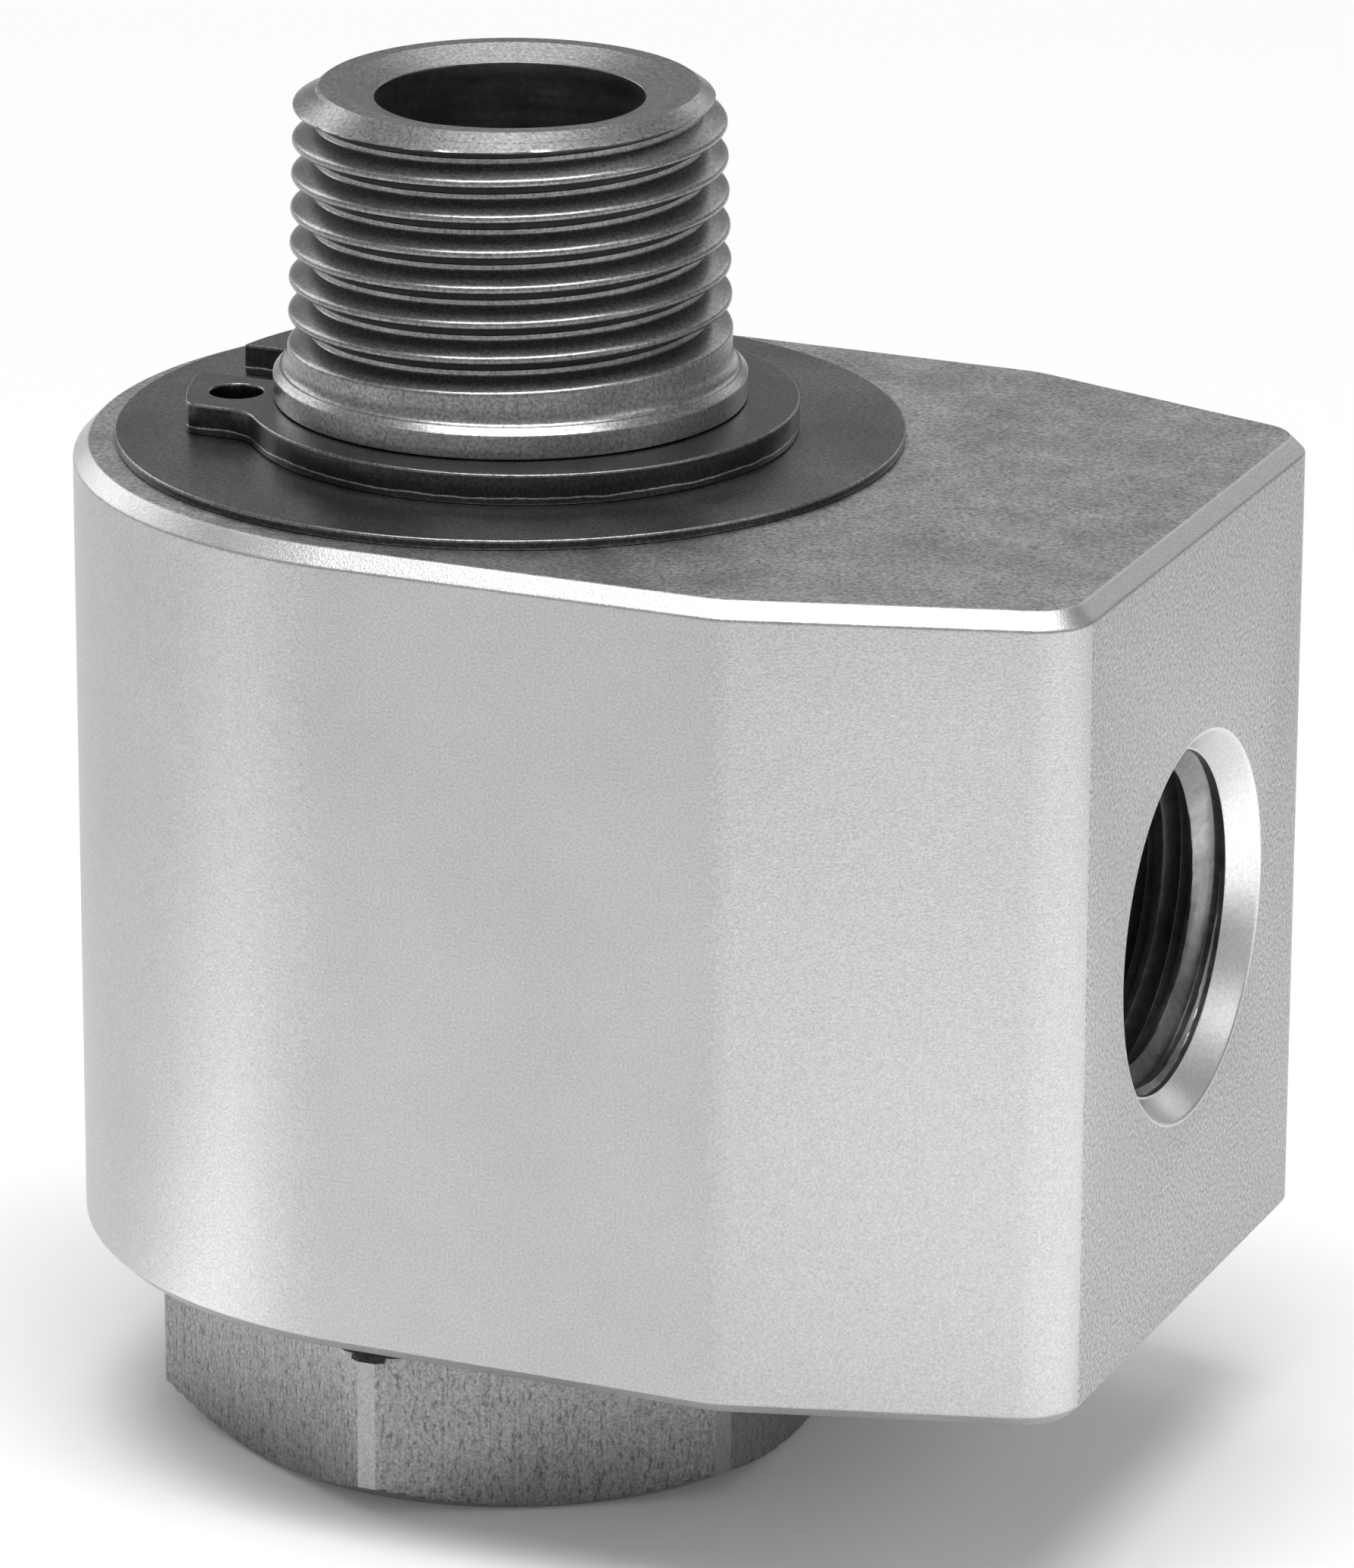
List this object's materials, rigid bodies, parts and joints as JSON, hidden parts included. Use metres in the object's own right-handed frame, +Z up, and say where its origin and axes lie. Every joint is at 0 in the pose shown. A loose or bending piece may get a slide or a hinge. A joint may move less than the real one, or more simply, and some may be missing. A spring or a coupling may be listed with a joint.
{
  "type": "hydraulic rotary union",
  "caption": "Right-angle hydraulic rotary union: a housing with a threaded side port that swivels on a hollow hexagon-ended shaft with a male thread, held by a retaining ring.",
  "frame": {"origin": "centre of the hexagon's lower face, on the shaft axis", "axes": "+Z up the shaft axis out of the outlet thread, +X out of the inlet port"},
  "size_m": [0.0445, 0.0332, 0.0529],
  "materials": {
    "housing_steel": "satin, fine bead-blasted and clear zinc plated steel",
    "shaft_steel": "turned and drawn steel, satin",
    "spring_steel": "phosphated and oiled spring steel",
    "washer_steel": "rolled strip steel, oiled",
    "lantern_steel": "turned steel",
    "case_steel": "pressed sheet steel",
    "nitrile": "moulded nitrile rubber, matt",
    "bronze": "turned bearing bronze",
    "backup_plastic": "machined bearing plastic",
    "polyurethane": "moulded polyurethane"
  },
  "bodies": {
    "housing_body": {"housing": "housing_steel", "lower_wiper_case": "case_steel", "lower_wiper_lip": "nitrile", "lower_snap_ring": "spring_steel", "lower_guide_bush": "bronze", "lower_backup_ring": "backup_plastic", "lower_cup_seal": "polyurethane", "lower_energiser_ring": "nitrile", "upper_wiper_case": "case_steel", "upper_wiper_lip": "nitrile", "upper_snap_ring": "spring_steel", "upper_guide_bush": "bronze", "upper_backup_ring": "backup_plastic", "upper_cup_seal": "polyurethane", "upper_energiser_ring": "nitrile", "lantern_ring": "lantern_steel"},
    "shaft_body": {"hollow_shaft": "shaft_steel", "retaining_ring": "spring_steel", "upper_thrust_washer": "washer_steel", "lower_thrust_washer": "washer_steel"}
  },
  "joints": [
    {"name": "shaft_spin", "type": "hinge", "parent": "housing_body", "child": "shaft_body", "pos_m": [0, 0, 0.0233], "axis": [0, 0, 1], "continuous": true}
  ]
}
